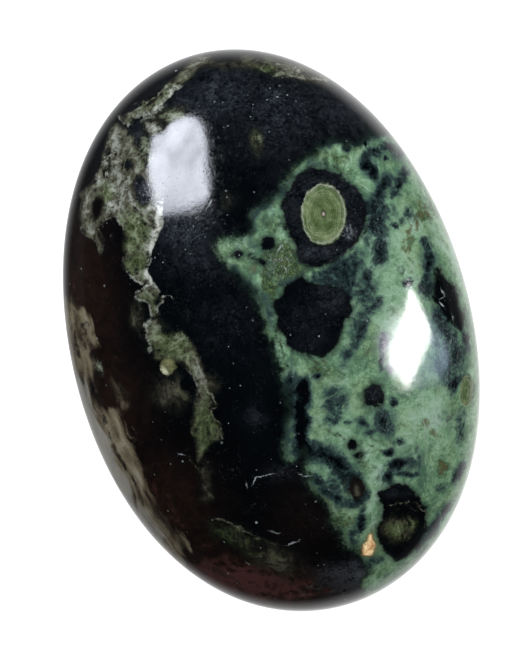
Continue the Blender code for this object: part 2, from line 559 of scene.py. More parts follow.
# Thin lines, as (strength, routes)
CREAM_LINES = [
    (1.0, [
        [(129, 113), (136, 110), (141, 107)], [(143, 104), (151, 99), (159, 94), (165, 89), (169, 83)],
        [(115, 133), (114, 144), (112, 151), (107, 157), (102, 164)], [(104, 158), (108, 166), (106, 174)],
        [(204, 388), (210, 394), (215, 400), (217, 407), (211, 411), (213, 418), (219, 423), (223, 436)],
        [(391, 505), (400, 503), (410, 502), (417, 504), (422, 509), (427, 514)],
        [(371, 446), (377, 449), (385, 453)],
        [(217, 519), (226, 521), (236, 527), (246, 531), (256, 537), (264, 539)],
        [(262, 68), (272, 76), (284, 73), (298, 77), (312, 79), (326, 80)],
    ]),
    (0.65, [
        [(134, 104), (139, 101)], [(116, 140), (118, 152), (117, 164), (120, 176), (119, 188)],
        [(122, 148), (126, 158), (124, 168), (128, 178)], [(104, 207), (107, 213), (103, 221)],
        [
            (81, 228), (84, 235), (90, 237), (95, 241), (98, 248), (100, 254), (103, 248), (103, 239),
            (99, 230),
        ],
        [(110, 229), (112, 235), (109, 241)], [(164, 297), (168, 296), (172, 299)],
        [(146, 290), (150, 296), (155, 301), (155, 308)], [(192, 352), (197, 362), (201, 371), (206, 380)],
        [(190, 424), (192, 434), (195, 445)], [(186, 463), (190, 460), (196, 467)],
        [(275, 64), (288, 66), (302, 73)], [(84, 326), (85, 321), (91, 322)],
        [(330, 262), (345, 254), (355, 245), (365, 231), (369, 214)], [(276, 322), (281, 340), (291, 352)],
        [(404, 518), (408, 527), (405, 538)], [(409, 516), (413, 526), (409, 539)],
        [(347, 476), (344, 484), (349, 494)],
    ]),
    (0.42, [
        [(137, 146), (137, 158), (141, 166), (149, 170)], [(183, 304), (188, 312), (188, 321)],
        [(130, 303), (131, 312), (134, 322), (138, 332), (142, 339)], [(203, 398), (201, 408), (199, 418)],
        [(204, 378), (203, 383), (205, 390)], [(211, 451), (218, 453), (226, 449)],
        [(203, 470), (203, 480), (206, 491), (213, 497)], [(283, 200), (281, 208), (283, 218)],
        [(396, 509), (408, 508), (418, 511)], [(389, 520), (386, 530), (390, 540)],
        [(356, 437), (360, 440)], [(264, 540), (276, 545), (288, 546)], [(290, 86), (298, 85), (306, 88)],
        [(252, 88), (258, 86)], [(339, 298), (345, 293)], [(336, 309), (345, 301)],
    ]),
]

BRIGHT_FLECKS = [
    (1.0, [
        [(254, 482), (256, 478)], [(260, 477), (265, 475), (272, 474)],
        [(301, 475), (305, 477), (309, 476)], [(290, 544), (297, 541)], [(208, 207), (211, 202)],
        [(365, 187), (368, 190)], [(181, 454), (185, 455)], [(442, 290), (444, 295)],
        [(441, 303), (443, 306)], [(452, 316), (453, 320)],
    ]),
    (0.35, [
        [(345, 226), (347, 231)], [(350, 224), (350, 229)], [(345, 236), (349, 238)],
        [(352, 230), (351, 234)],
    ]),
    (0.6, [
        [(246, 484), (247, 487)], [(271, 531), (278, 533)], [(247, 563), (249, 565)],
        [(282, 245), (278, 252), (276, 260)],
    ]),
]

DARK_LINES = [
    (1.0, [
        [(92, 384), (95, 397), (100, 410), (106, 423)],
        [(108, 432), (113, 446), (122, 462), (133, 480), (142, 498)], [(72, 326), (76, 342), (79, 356)],
        [(82, 346), (81, 332), (83, 324), (89, 324), (87, 334), (90, 346)],
        [(402, 575), (420, 556), (436, 534)], [(273, 322), (277, 338), (284, 356), (288, 372)],
        [(330, 432), (335, 435)], [(339, 434), (343, 438)], [(361, 238), (368, 229), (373, 221)],
    ]),
    (0.7, [
        [(452, 424), (459, 432), (466, 441)], [(461, 380), (466, 374), (472, 380), (474, 392), (471, 404)],
        [(343, 148), (346, 156), (349, 161)], [(325, 164), (336, 168), (345, 175)],
        [(398, 270), (400, 266), (404, 268), (402, 273), (398, 271)], [(344, 338), (350, 337), (358, 337)],
        [(397, 260), (399, 264)], [(409, 258), (412, 262)],
        [(388, 312), (391, 308), (394, 312), (391, 315)], [(370, 515), (371, 530)],
        [(386, 388), (396, 389)], [(383, 345), (380, 356), (383, 368)], [(388, 350), (385, 360)],
        [(422, 300), (428, 318), (436, 338), (440, 352)], [(371, 437), (378, 443), (386, 446)],
    ]),
]

# A painted orange glint near the lower right, with a dark brown edge and a nearly white core
COPPER_GLINT_OUTLINE = [(370, 533), (374, 539), (376, 548), (371, 555), (364, 555), (362, 547), (366, 541)]

# Where the dark stone turns reddish brown, partly a painted reflection of skin along the left and bottom
# rim; where it is hazy, partly painted glow and rim sheen; and where it carries many pale specks
BROWN_AND_SKIN_REFLECTION_CLOUDS = [
    (1.0, (84, 290), (34, 100), -12), (0.9, (112, 390), (34, 64), -25), (1.1, (165, 505), (44, 60), -40),
    (2.3, (250, 584), (90, 26), 10), (1.6, (276, 598), (46, 15)), (1.0, (206, 548), (24, 18), 30),
    (0.35, (305, 520), (42, 40)), (0.8, (356, 486), (9, 15)), (0.5, (427, 203), (8, 12)),
]
# Partly painted light: the haze below the left highlight, at (182, 230), is its painted glow, and the
# strong grey along the bottom rim, at (350, 581), is a painted sheen
SMOKE_AND_SHEEN_CLOUDS = [
    (0.75, (215, 96), (50, 26), -20), (0.6, (280, 112), (46, 42)), (0.6, (345, 108), (40, 30), 30),
    (1.1, (182, 230), (26, 20)), (0.5, (200, 256), (36, 24)), (1.0, (136, 145), (12, 24)),
    (0.9, (143, 191), (9, 14)), (0.5, (332, 296), (18, 20)), (0.5, (322, 205), (44, 52)),
    (1.4, (348, 232), (7, 9), 20), (0.22, (310, 325), (30, 30)), (0.45, (328, 250), (26, 8), -10),
    (0.15, (225, 320), (46, 40)), (4.0, (350, 581), (42, 13), -8), (1.0, (325, 252), (24, 8)),
    (0.5, (257, 415), (9, 10)), (0.5, (282, 472), (14, 7)), (0.5, (330, 465), (24, 16)),
    (0.45, (395, 470), (14, 12)), (0.4, (395, 494), (16, 7)), (0.5, (372, 394), (8, 8)),
]
LEAST_SPECKLE = 0.25
SPECKLE_CLOUDS = [
    (1.0, (275, 108), (50, 40)), (0.8, (190, 240), (36, 34)), (0.55, (235, 310), (50, 60)),
    (0.7, (310, 330), (30, 26)), (0.5, (250, 480), (70, 50)), (1.0, (330, 462), (20, 20)),
    (0.4, (320, 220), (46, 50)), (0.8, (396, 495), (20, 12)), (0.6, (450, 300), (14, 28)),
]


def vertex_points(mesh):
    points = np.empty(len(mesh.vertices) * 3, dtype=np.float32)
    mesh.vertices.foreach_get("co", points)
    return points.reshape(-1, 3).astype(float)


def write_field(mesh, name, values):
    """Stores one number for each vertex."""
    layer = mesh.attributes.new(name, "FLOAT", "POINT")
    layer.data.foreach_set("value", values.astype(np.float32))


def draw_markings(stone, photo, girth_height):
    """Stores the drawn markings on the stone's vertices for its material to read."""
    mesh = stone.data
    points = vertex_points(mesh)
    places = photo.places(points)
    grown = uneven(places)
    drawn = np.clip((points[:, 2] - girth_height - DRAWN_TO) / (DRAWN_FROM - DRAWN_TO), 0.0, 1.0)
    fields = {
        "drawn": drawn,
        "upper": np.clip((points[:, 2] - girth_height) / UPPER_FROM, 0.0, 1.0),
        "green": patch(grown, GREEN_FIELD),
        "blob": dark_blobs(grown),
        "shade": union(
            clouds(grown, SHADE_CLOUDS),
            bands(grown, SHADE_BANDS),
            soft_patch(grown, SLATE_PATCH, SLATE_STRENGTH, SLATE_EDGE),
        ),
        "warm": union(clouds(grown, WARM_CLOUDS), bands(grown, WARM_BANDS)),
        "pale": clouds(grown, MILKY_AND_GLOW_CLOUDS),
        "rust": union(clouds(grown, RUST_CLOUDS), bands(grown, RUST_BANDS)),
        "needles": clouds(grown, NEEDLE_CLOUDS),
        "orb": orb_radius(places),
        "bead": oval_radius(places, BEAD_CENTRE, BEAD_RADII),
        "glint": oval_radius(places, *BEAD_GLINT),
        "vein": vein(grown),
        "moss": clouds(grown, MOSS_CLOUDS),
        "frost": union(clouds(grown, FROST_CLOUDS), bands(grown, FROST_BANDS)),
        "bark": bark(grown),
        "painted_rim_sheen": soft_band(grown, RIM_SHEEN_ROUTE, RIM_SHEEN_WIDTH),
        **lines(places, "cream", CREAM_LINES),
        **lines(places, "fleck", BRIGHT_FLECKS),
        **lines(places, "dark", DARK_LINES),
        "copper_glint": patch(places, COPPER_GLINT_OUTLINE),
        "brown": clouds(grown, BROWN_AND_SKIN_REFLECTION_CLOUDS),
        "smoke_and_sheen": clouds(grown, SMOKE_AND_SHEEN_CLOUDS),
        "speckle": np.maximum(clouds(grown, SPECKLE_CLOUDS), LEAST_SPECKLE),
    }
    for name, values in fields.items():
        write_field(mesh, name, values)


# Material


class Nodes:
    """Short ways to lay nodes in a tree."""

    def __init__(self, tree):
        self.tree = tree

    def new(self, kind, **settings):
        node = self.tree.nodes.new(kind)
        for name, value in settings.items():
            setattr(node, name, value)
        return node

    def feed(self, socket, value):
        if isinstance(value, bpy.types.NodeSocket):
            self.tree.links.new(value, socket)
        else:
            socket.default_value = value

    def object_place(self):
        return self.new("ShaderNodeTexCoord").outputs["Object"]

    def math(self, operation, *values, clamp=False):
        node = self.new("ShaderNodeMath", operation=operation, use_clamp=clamp)
        for socket, value in zip(node.inputs, values):
            self.feed(socket, value)
        return node.outputs[0]

    def add(self, *values):
        total = values[0]
        for value in values[1:]:
            total = self.math("ADD", total, value)
        return total

    def times(self, *values):
        total = values[0]
        for value in values[1:]:
            total = self.math("MULTIPLY", total, value)
        return total

    def share(self, value):
        """Keeps a number within 0 and 1."""
        return self.math("ADD", value, 0.0, clamp=True)

    def rest(self, value):
        """What is left of 1."""
        return self.math("SUBTRACT", 1.0, value)

    def remap(self, value, low, high, bottom=0.0, top=1.0, kind="LINEAR"):
        """The bottom up to low, the top from high on, and even between."""
        node = self.new("ShaderNodeMapRange", interpolation_type=kind)
        slots = ("Value", "From Min", "From Max", "To Min", "To Max")
        for name, item in zip(slots, (value, low, high, bottom, top)):
            self.feed(node.inputs[name], item)
        return node.outputs["Result"]

    def rise(self, value, low, high):
        """0 up to low, 1 from high on, smooth between."""
        return self.remap(value, low, high, kind="SMOOTHSTEP")

    def fall(self, value, low, high):
        """1 up to low, 0 from high on, smooth between."""
        return self.rest(self.rise(value, low, high))

    def mix(self, share, a, b):
        """Mixes two colours."""
        node = self.new("ShaderNodeMix", data_type="RGBA")
        self.feed(node.inputs[0], share)
        self.feed(node.inputs[6], a)
        self.feed(node.inputs[7], b)
        return node.outputs[2]

    def blend(self, share, a, b):
        """Mixes two numbers."""
        node = self.new("ShaderNodeMix", data_type="FLOAT")
        self.feed(node.inputs[0], share)
        self.feed(node.inputs[2], a)
        self.feed(node.inputs[3], b)
        return node.outputs[0]

    def ramp(self, value, *stops):
        """A colour that runs through those at the stops, each a (value, colour)."""
        node = self.new("ShaderNodeValToRGB")
        points = node.color_ramp.elements
        low, high = stops[0][0], stops[-1][0]
        for point, (at, colour) in zip(points, (stops[0], stops[-1])):
            point.position = (at - low) / (high - low)
            point.color = colour
        for at, colour in stops[1:-1]:
            points.new((at - low) / (high - low)).color = colour
        self.feed(node.inputs[0], self.remap(value, low, high))
        return node.outputs["Color"]

    def vector(self, operation, *values):
        node = self.new("ShaderNodeVectorMath", operation=operation)
        for socket, value in zip(node.inputs, values):
            self.feed(socket, value)
        return node.outputs[0]

    def noise(self, place, scale, detail, roughness=0.5):
        node = self.new("ShaderNodeTexNoise")
        slots = ("Vector", "Scale", "Detail", "Roughness")
        for name, item in zip(slots, (place, scale, detail, roughness)):
            self.feed(node.inputs[name], item)
        return node.outputs


class JasperNodes(Nodes):
    """The same, with the noises and fields that the jasper's layers share. Sizes are in millimetres."""

    def __init__(self, tree):
        super().__init__(tree)
        self.place = self.object_place()
        self.wavy = self.warped(self.place, 5.0, 0.8)
        self.curly = self.warped(self.wavy, 1.7, 0.20)
        self.fine = self.grain(0.26, 5.0, roughness=0.82)
        self.lumps = self.add(
            self.grain(1.1, 2.0, self.curly, 0.6),
            self.times(self.grain(0.5, 2.0, self.wavy), 0.45),
        )
        reach = self.field("drawn")
        swayed = self.add(reach, self.times(self.grain(6.0, 3.0), 1.8, self.rest(reach)))
        self.drawn = self.rise(swayed, 0.25, 0.75)
        self.drawn_high = self.rise(swayed, 0.62, 0.97)

    def field(self, name):
        """A drawn field that the stone's vertices carry."""
        return self.new("ShaderNodeAttribute", attribute_name=name).outputs["Fac"]

    def rough(self, lumps, fine):
        """The jasper's lumps and its fine grain, in those amounts."""
        return self.add(self.times(self.lumps, lumps), self.times(self.fine, fine))

    def warped(self, place, size_mm, reach_mm):
        """A place pushed about by noise."""
        colour = self.noise(place, 1000.0 / size_mm, 1.0)["Color"]
        centred = self.vector("SUBTRACT", colour, (0.5, 0.5, 0.5))
        reach = 4 * reach_mm / 1000
        return self.vector("ADD", place, self.vector("MULTIPLY", centred, (reach, reach, reach)))

    def stretched(self, scale, turn=0.0, place=None):
        """The place on the stone, turned about the upright and stretched."""
        node = self.new("ShaderNodeMapping", vector_type="TEXTURE")
        self.feed(node.inputs["Vector"], place or self.place)
        self.feed(node.inputs["Scale"], scale)
        self.feed(node.inputs["Rotation"], (0.0, 0.0, turn))
        return node.outputs["Vector"]

    def grain(self, size_mm, detail=2.0, place=None, roughness=0.5):
        """Noise about 0, mostly within 0.25 of it, with features of that size."""
        noise_level = self.noise(place or self.place, 1000.0 / size_mm, detail, roughness)["Fac"]
        return self.math("SUBTRACT", noise_level, 0.5)

    def cells(self, size_mm, feature="F1", place=None):
        """A Voronoi pattern with cells of that size."""
        node = self.new("ShaderNodeTexVoronoi", feature=feature)
        self.feed(node.inputs["Vector"], place or self.place)
        node.inputs["Scale"].default_value = 1000.0 / size_mm
        return node

    def chance(self, cells, channel="Red"):
        """A random number of each cell, 0 to 1."""
        parts = self.new("ShaderNodeSeparateColor")
        self.feed(parts.inputs[0], cells.outputs["Color"])
        return parts.outputs[channel]

    def needles(self, turn):
        """Short bright hairs lying one way."""
        hairs = self.grain(0.16, 2.0, self.stretched((0.8, 6.0, 1.0), turn, self.wavy))
        return self.rise(hairs, 0.09, 0.20)

    def dots(self, size_mm, smallest, largest, density):
        """Scattered round specks, each with its own strength."""
        cells = self.cells(size_mm)
        reach = self.blend(self.chance(cells), smallest, largest)
        near = self.fall(cells.outputs["Distance"], self.times(reach, 0.6), reach)
        chosen = self.math("LESS_THAN", self.chance(cells, "Green"), density)
        return self.times(near, chosen, self.blend(self.chance(cells, "Blue"), 0.25, 1.0))


# Colours of the stone, as linear red, green, blue and alpha
BLACK = (0.0006, 0.0011, 0.0016, 1.0)
SOOT = (0.0045, 0.0065, 0.0075, 1.0)
SMOKE = (0.034, 0.039, 0.046, 1.0)
BROWN = (0.0125, 0.0065, 0.0045, 1.0)
# the stone's red brown, and along the left and bottom rim a painted reflection of skin
RED_BROWN_AND_SKIN_REFLECTION = (0.0640, 0.0255, 0.0220, 1.0)
DUST = (0.085, 0.098, 0.100, 1.0)
PALE_SPECK = (0.26, 0.31, 0.29, 1.0)
DARK_GREEN = (0.0065, 0.0130, 0.0095, 1.0)
DARK_TEAL = (0.0095, 0.0175, 0.0175, 1.0)
DEEP_TEAL = (0.021, 0.038, 0.034, 1.0)
TEAL = (0.040, 0.080, 0.066, 1.0)
DEEP_JADE = (0.058, 0.118, 0.068, 1.0)
JADE = (0.110, 0.200, 0.110, 1.0)
LIGHT_JADE = (0.160, 0.270, 0.160, 1.0)
MILKY_JADE = (0.235, 0.345, 0.260, 1.0)
DEEP_LEAF = (0.062, 0.108, 0.050, 1.0)
LEAF = (0.165, 0.250, 0.125, 1.0)
OLIVE = (0.038, 0.064, 0.022, 1.0)
RUST = (0.080, 0.070, 0.030, 1.0)
LIME = (0.122, 0.172, 0.046, 1.0)
BRIGHT_LIME = (0.270, 0.330, 0.120, 1.0)
GILT = (0.42, 0.52, 0.26, 1.0)
ORB_SHADE = (0.034, 0.058, 0.018, 1.0)
ORB_FILL = (0.072, 0.104, 0.040, 1.0)
ORB_LIGHT = (0.130, 0.165, 0.080, 1.0)
ORB_LINE = (0.210, 0.250, 0.150, 1.0)
ORB_RIM = (0.260, 0.270, 0.215, 1.0)
ORB_DARK = (0.018, 0.022, 0.012, 1.0)
ORB_DOT = (0.38, 0.30, 0.26, 1.0)
BEAD_SHADE = (0.060, 0.066, 0.026, 1.0)
BEAD_FILL = (0.165, 0.165, 0.078, 1.0)
# painted highlight: the crescent of light on the bead
BEAD_GLINT_COLOUR = (0.50, 0.50, 0.33, 1.0)
VEIN_DARK = (0.008, 0.012, 0.009, 1.0)
VEIN_BROWN = (0.024, 0.022, 0.015, 1.0)
VEIN_OLIVE = (0.070, 0.070, 0.046, 1.0)
VEIN_GREY = (0.190, 0.200, 0.165, 1.0)
VEIN_CREAM = (0.430, 0.430, 0.370, 1.0)
MOSS_DARK = (0.011, 0.016, 0.007, 1.0)
MOSS = (0.048, 0.062, 0.026, 1.0)
MOSS_LIGHT = (0.150, 0.175, 0.105, 1.0)
BARK_BROWN = (0.045, 0.034, 0.021, 1.0)
BARK_OLIVE = (0.140, 0.118, 0.073, 1.0)
BARK_CREAM = (0.270, 0.260, 0.190, 1.0)
# painted sheen: the pale grey next to the lower left rim, where it mirrors the white around it
BARK_RIM_SHEEN = (0.24, 0.235, 0.205, 1.0)
FLECK = (0.50, 0.55, 0.54, 1.0)
# colours of the painted orange glint, from its edge to its core
COPPER_EDGE = (0.14, 0.060, 0.022, 1.0)
COPPER = (0.62, 0.34, 0.15, 1.0)
COPPER_GLINT_CORE = (1.0, 0.76, 0.42, 1.0)


def green_share(n):
    """How far a place is into the green, in pixels of the photograph."""
    ragged = n.add(n.rough(14.0, 10.0), n.times(n.grain(3.3, 2.0), 14.0))
    solid = n.times(n.add(n.grain(15.0, 2.0, n.wavy), 0.01), 190.0)
    side = n.times(n.grain(5.0, 2.0, n.wavy), 90.0, n.rest(n.field("upper")))
    return n.add(n.blend(n.drawn, solid, n.field("green")), ragged, side)


def dark_colour(n):
    # the drawn haze is partly a painted glow below the left highlight and a painted sheen along the bottom
    # rim
    veil = n.blend(n.drawn, n.rise(n.grain(9.0, 2.0, n.wavy), 0.0, 0.25), n.field("smoke_and_sheen"))
    wisps = n.rise(n.grain(5.0, 4.0, n.stretched((0.7, 1.8, 1.0), 0.25, n.wavy)), -0.05, 0.28)
    colour = n.mix(n.times(wisps, 0.22), BLACK, SOOT)
    cloud = n.rough(1.3, 2.8)
    haze = n.times(veil, n.rise(cloud, -0.50, 0.75))
    colour = n.mix(n.share(haze), colour, SMOKE)
    tint = n.blend(n.drawn, n.rise(n.grain(17.0, 1.0), 0.02, 0.2), n.field("brown"))
    tint = n.times(tint, n.add(0.8, n.times(n.lumps, 1.5)))
    colour = n.mix(n.share(n.times(tint, 0.9)), colour, BROWN)
    # painted reflection of skin: red brown where the brown is strongest, along the left and bottom rim;
    # elsewhere the stone's own tone
    colour = n.mix(n.share(n.add(n.times(tint, 1.1), -1.0)), colour, RED_BROWN_AND_SKIN_REFLECTION)
    crowd = n.blend(n.drawn, 0.35, n.field("speckle"))
    net = n.cells(1.3, "DISTANCE_TO_EDGE", n.curly).outputs["Distance"]
    net = n.times(n.fall(net, 0.0, 0.14), n.rise(n.grain(2.6, 3.0), -0.05, 0.2), haze, 0.5)
    dust = n.times(n.rise(n.fine, 0.05, 0.22), n.rise(n.grain(1.8, 3.0), -0.04, 0.15), crowd, 0.9)
    colour = n.mix(n.share(n.math("MAXIMUM", net, dust)), colour, DUST)
    small = n.dots(0.7, 0.06, 0.20, n.times(crowd, 0.4))
    large = n.dots(1.3, 0.06, 0.15, n.times(crowd, 0.7))
    colour = n.mix(n.share(n.times(n.math("MAXIMUM", small, large), 0.75)), colour, PALE_SPECK)
    pits = n.times(n.dots(0.9, 0.15, 0.42, 0.5), n.share(haze))
    return n.mix(n.share(n.times(pits, 1.2)), colour, BLACK)


def green_colour(n):
    grains = n.add(n.chance(n.cells(0.30)), -0.5)
    mottle = n.add(n.times(n.fine, 1.5), n.times(grains, 0.22))
    clouds = n.grain(1.9, 5.0, n.curly, 0.68)
    # milky green, partly a painted glow of reflected light near the right highlight and the right rim
    milky_and_glow = n.blend(n.drawn, 0.1, n.field("pale"))
    broad = n.times(n.grain(7.0, 2.0, n.wavy), 0.9)
    light = n.add(mottle, n.times(clouds, 2.2), broad, n.times(milky_and_glow, 0.28))
    colour = n.ramp(
        light, (-0.62, TEAL), (-0.28, DEEP_JADE), (-0.02, JADE), (0.20, LIGHT_JADE), (0.60, MILKY_JADE)
    )
    leafy = n.rise(n.add(n.grain(2.6, 3.0, n.curly), n.times(n.grain(8.0, 1.0), 0.8)), -0.05, 0.18)
    colour = n.mix(n.times(leafy, 0.6), colour, n.mix(n.rise(light, -0.2, 0.4), DEEP_LEAF, LEAF))
    blush = n.times(n.add(n.lumps, n.grain(4.0, 2.0, n.wavy)), 1.6)
    warm = n.add(n.times(n.field("warm"), n.drawn), blush)
    gilt = n.add(n.fine, n.times(grains, 0.12))
    gold = n.ramp(gilt, (-0.12, MOSS_DARK), (0.06, OLIVE), (0.20, LIME), (0.33, BRIGHT_LIME))
    colour = n.mix(n.times(n.rise(warm, 0.28, 1.0), 0.93), colour, gold)
    threads = n.cells(2.6, "DISTANCE_TO_EDGE", n.curly).outputs["Distance"]
    threads = n.times(n.fall(threads, 0.0, 0.10), n.rise(n.grain(4.0, 2.0), 0.05, 0.2))
    colour = n.mix(n.times(threads, 0.35), colour, TEAL)
    rust = n.add(n.times(n.field("rust"), n.drawn), n.rough(3.0, 0.8))
    colour = n.mix(n.times(n.rise(rust, 0.35, 1.10), 0.65), colour, RUST)
    specks = n.dots(0.5, 0.10, 0.30, n.times(n.rise(warm, 0.6, 1.4), 0.45))
    colour = n.mix(n.times(specks, 0.6), colour, GILT)
    return needle_layer(n, shade_layer(n, colour, mottle))


def shade_layer(n, colour, mottle):
    """Darkens the green through teal to black."""
    solid = n.times(n.rise(n.grain(5.5, 3.0, n.wavy), -0.02, 0.25), 1.5)
    shade = n.blend(n.drawn, solid, n.field("shade"))
    ragged = n.add(n.times(n.lumps, 2.4), n.times(mottle, 1.4))
    shade = n.times(n.add(shade, n.times(ragged, n.add(0.25, n.times(shade, 0.55)))), 1.2)
    dark = n.ramp(shade, (0.40, TEAL), (0.95, DEEP_TEAL), (1.35, DARK_TEAL), (2.0, BLACK))
    return n.mix(n.rise(shade, 0.05, 0.95), colour, dark)


def needle_layer(n, colour):
    """Strews pale needles and grains over the green."""
    needles = n.math("MAXIMUM", n.needles(0.35), n.needles(-0.9))
    needles = n.times(needles, n.drawn, n.field("needles"))
    colour = n.mix(n.share(n.times(needles, 0.75)), colour, PALE_SPECK)
    crowd = n.times(n.add(n.field("speckle"), 0.1), 0.4)
    return n.mix(n.times(n.dots(0.6, 0.08, 0.26, crowd), 0.55), colour, PALE_SPECK)


# The bright rings of an orb, as (radius, half width, strength)
BRIGHT_RINGS = ((0.95, 0.06, 0.8), (0.765, 0.035, 0.6), (0.695, 0.026, 0.5), (0.60, 0.022, 0.3))


def ring_pattern(n, radius):
    """Fine concentric lines of an orb, 0 to 1, from the distance to its middle."""
    at = n.add(radius, n.times(n.grain(1.2, 2.0), 0.22), n.times(n.grain(0.3, 2.0), 0.08))
    lines = n.times(n.rise(n.math("SINE", n.times(at, 74.0)), 0.1, 1.0), 0.16)
    for middle, width, strength in BRIGHT_RINGS:
        gap = n.math("ABSOLUTE", n.add(at, -middle))
        lines = n.math("MAXIMUM", lines, n.times(n.fall(gap, width * 0.2, width), strength))
    return n.share(n.times(lines, n.add(0.75, n.times(n.grain(0.5, 4.0, roughness=0.7), 3.0))))


def orb_colour(n, radius):
    cloudy = n.rough(2.0, 1.6)
    fill = n.ramp(cloudy, (-0.45, ORB_SHADE), (0.0, ORB_FILL), (0.5, ORB_LIGHT))
    belt = n.times(n.rise(radius, 0.36, 0.46), n.fall(radius, 0.54, 0.64), 0.5)
    colour = n.mix(belt, fill, ORB_SHADE)
    colour = n.mix(ring_pattern(n, radius), colour, n.mix(n.rise(radius, 0.78, 0.9), ORB_LINE, ORB_RIM))
    colour = n.mix(n.times(n.fall(radius, 0.08, 0.19), 0.75), colour, ORB_DARK)
    return n.mix(n.times(n.fall(radius, 0.03, 0.10), 0.75), colour, ORB_DOT)


def vein_layer(n, colour):
    """Lays the vein over the stone: olive and brown clots, a grey net, and cream where it is frosted."""
    solid = n.times(n.add(n.grain(10.0, 2.0, n.wavy), -0.15), 9.0)
    patches = n.add(n.times(n.grain(2.5, 3.0, n.wavy), 5.0), -0.35)
    broken = n.times(patches, n.rest(n.field("upper")))
    density = n.blend(n.drawn_high, n.math("MINIMUM", solid, 0.8), n.add(n.field("vein"), broken))
    net = n.cells(0.9, "DISTANCE_TO_EDGE", n.curly).outputs["Distance"]
    threads = n.times(n.fall(net, 0.0, 0.20), n.rise(n.grain(2.0, 3.0), -0.14, 0.12))
    uneven = n.add(0.85, n.rough(2.0, 1.8), n.times(threads, 0.35))
    line = thin_line(n, "cream", 1.6, 0.6)
    level = n.add(n.times(density, uneven), line)
    frost = n.blend(n.drawn, n.times(n.rise(n.grain(3.0, 3.0, n.wavy), 0.0, 0.2), 0.7), n.field("frost"))
    patchy = n.add(0.65, n.rough(2.2, 1.4), n.times(threads, 0.3))
    frost = n.add(n.times(frost, patchy), n.times(n.fine, 1.0), n.times(line, 0.7))
    frosted = n.times(n.rise(frost, 0.15, 1.1), n.rise(n.add(density, line), 0.0, 0.3))
    level = n.add(level, n.times(frosted, 0.6))
    plain = n.ramp(level, (0.05, VEIN_DARK), (0.42, VEIN_BROWN), (0.88, VEIN_OLIVE), (1.40, VEIN_GREY))
    green = n.ramp(level, (0.05, VEIN_DARK), (0.38, MOSS_DARK), (0.82, MOSS), (1.40, MOSS_LIGHT))
    moss = n.blend(n.drawn, n.rise(n.grain(6.0, 2.0), -0.1, 0.15), n.field("moss"))
    moss = n.add(moss, n.times(n.lumps, 1.6))
    tone = n.mix(n.rise(moss, 0.15, 0.85), plain, green)
    pale = n.mix(n.rise(frost, 0.60, 1.50), VEIN_GREY, VEIN_CREAM)
    tone = n.mix(n.times(frosted, 0.9), tone, pale)
    return n.mix(n.math("MAXIMUM", n.rise(level, 0.0, 0.60), n.times(frosted, 0.8)), colour, tone)


def bark_layer(n, colour):
    """Lays the olive brown band over the stone, in soft streaks along the rim, with a painted pale sheen of
    reflected light next to the rim.
    """
    streaks = n.grain(1.0, 4.0, n.stretched((1.0, 8.0, 1.6), 0.13, n.wavy), 0.5)
    inward = n.blend(n.drawn_high, -60.0, n.field("bark"))
    edge = n.add(inward, n.times(streaks, 30.0), n.times(n.grain(0.7, 3.0, n.curly), 8.0))
    tone = n.add(streaks, n.times(n.fine, 0.4), n.times(n.math("MINIMUM", inward, 25.0), 0.006))
    brown = n.ramp(tone, (-0.22, VEIN_DARK), (-0.04, BARK_BROWN), (0.14, BARK_OLIVE), (0.40, BARK_CREAM))
    # painted sheen: pale grey next to the rim, where the rim mirrors the white around it
    pale = n.rise(n.add(n.field("painted_rim_sheen"), n.times(streaks, 2.2)), 0.25, 0.95)
    brown = n.mix(n.times(pale, n.drawn, 0.6), brown, BARK_RIM_SHEEN)
    return n.mix(n.times(n.rise(edge, -4.0, 5.0), 0.95), colour, brown)


def bead_layer(n, colour):
    """Lays the small yellow bead over the vein, with a painted crescent of light."""
    radius = n.blend(n.drawn, 9.0, n.field("bead"))
    radius = n.add(radius, n.rough(1.0, 0.8))
    fill = n.ramp(n.add(n.times(n.lumps, 1.5), n.fine), (-0.25, BEAD_SHADE), (0.25, BEAD_FILL))
    colour = n.mix(n.times(n.fall(radius, 0.75, 1.10), 0.9), colour, fill)
    glint = n.add(n.field("glint"), n.times(n.fine, 2.5), n.times(n.lumps, 1.0))
    # painted highlight: the pale crescent of light on the bead
    return n.mix(n.times(n.fall(glint, 0.2, 1.2), n.fall(radius, 0.85, 1.1), 0.8), colour, BEAD_GLINT_COLOUR)


def thin_line(n, name, width, strength, wander=7.0):
    """The drawn lines of that name, broken and uneven: their strength on them and 0 beside them."""
    across = n.math("ABSOLUTE", n.add(n.field(name + "_across"), n.times(n.grain(0.8, 3.0), wander)))
    wide = n.times(n.add(1.2, n.times(n.grain(0.5, 3.0, roughness=0.65), 5.0)), width)
    uneven = n.share(n.add(0.6, n.times(n.grain(0.9, 3.0, roughness=0.65), 4.0), n.times(n.fine, 1.5)))
    along = n.times(n.field(name + "_reach"), n.drawn, uneven, strength)
    return n.times(n.fall(across, 0.0, n.add(wide, 0.5)), along)


def orb_places(n):
    """Distance from the middle of the nearest orb as a share of its radius: drawn ones and solid ones."""
    orbs = n.cells(13.0)
    size = n.blend(n.chance(orbs), 0.05, 0.24)
    solid = n.math("DIVIDE", orbs.outputs["Distance"], size)
    return solid, n.blend(n.rise(n.drawn, 0.4, 0.6), solid, n.field("orb"))


